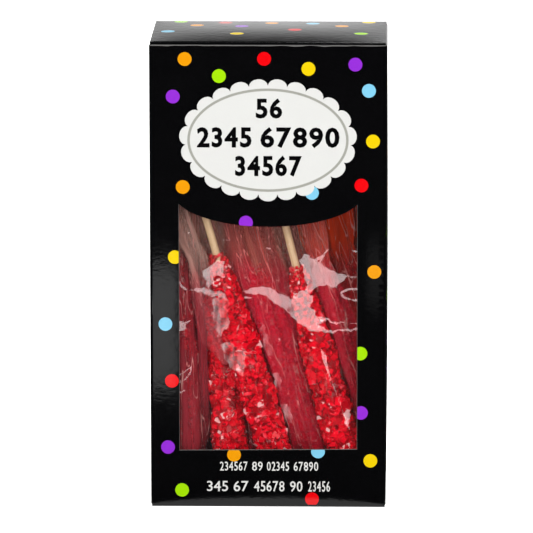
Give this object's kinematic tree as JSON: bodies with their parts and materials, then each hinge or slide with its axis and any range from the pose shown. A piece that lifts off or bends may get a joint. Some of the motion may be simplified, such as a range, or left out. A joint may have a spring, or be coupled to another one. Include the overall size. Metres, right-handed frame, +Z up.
{
  "type": "windowed carton of rock candy sticks",
  "caption": "Tall black folding carton with confetti dots, a scalloped badge and a film window showing red rock candy on wooden sticks, each sealed in clear film.",
  "frame": {"origin": "middle of the carton's base, on the surface it stands on", "axes": "+Z up along the carton's height, -Y towards the windowed front, +X to the right seen from the front"},
  "size_m": [0.1016, 0.0636, 0.2032],
  "materials": {
    "printed_board": "gloss varnished print, black with coloured dots and a white badge, white uncoated inside",
    "clear_film": "thin clear gloss film, slightly wavy",
    "rock_candy": "clear red sugar crystals in clear film",
    "stick_film": "crinkled clear gloss cellophane",
    "dowel_wood": "bare pale wood"
  },
  "bodies": {
    "root": {"carton": "printed_board", "window_film": "clear_film", "wrapped_stick_01": "rock_candy", "wrapped_stick_02": "rock_candy", "wrapped_stick_03": "rock_candy", "wrapped_stick_04": "rock_candy", "wrapped_stick_05": "rock_candy", "wrapped_stick_06": "rock_candy", "wrapped_stick_07": "rock_candy", "wrapped_stick_08": "rock_candy", "wrapped_stick_09": "rock_candy", "wrapped_stick_10": "rock_candy", "wrapped_stick_11": "rock_candy", "wrapped_stick_12": "rock_candy", "wrapped_stick_13": "rock_candy", "wrapped_stick_14": "rock_candy", "wrapped_stick_15": "rock_candy", "wrapped_stick_16": "rock_candy", "wrapped_stick_17": "rock_candy", "wrapped_stick_18": "rock_candy"}
  },
  "joints": []
}
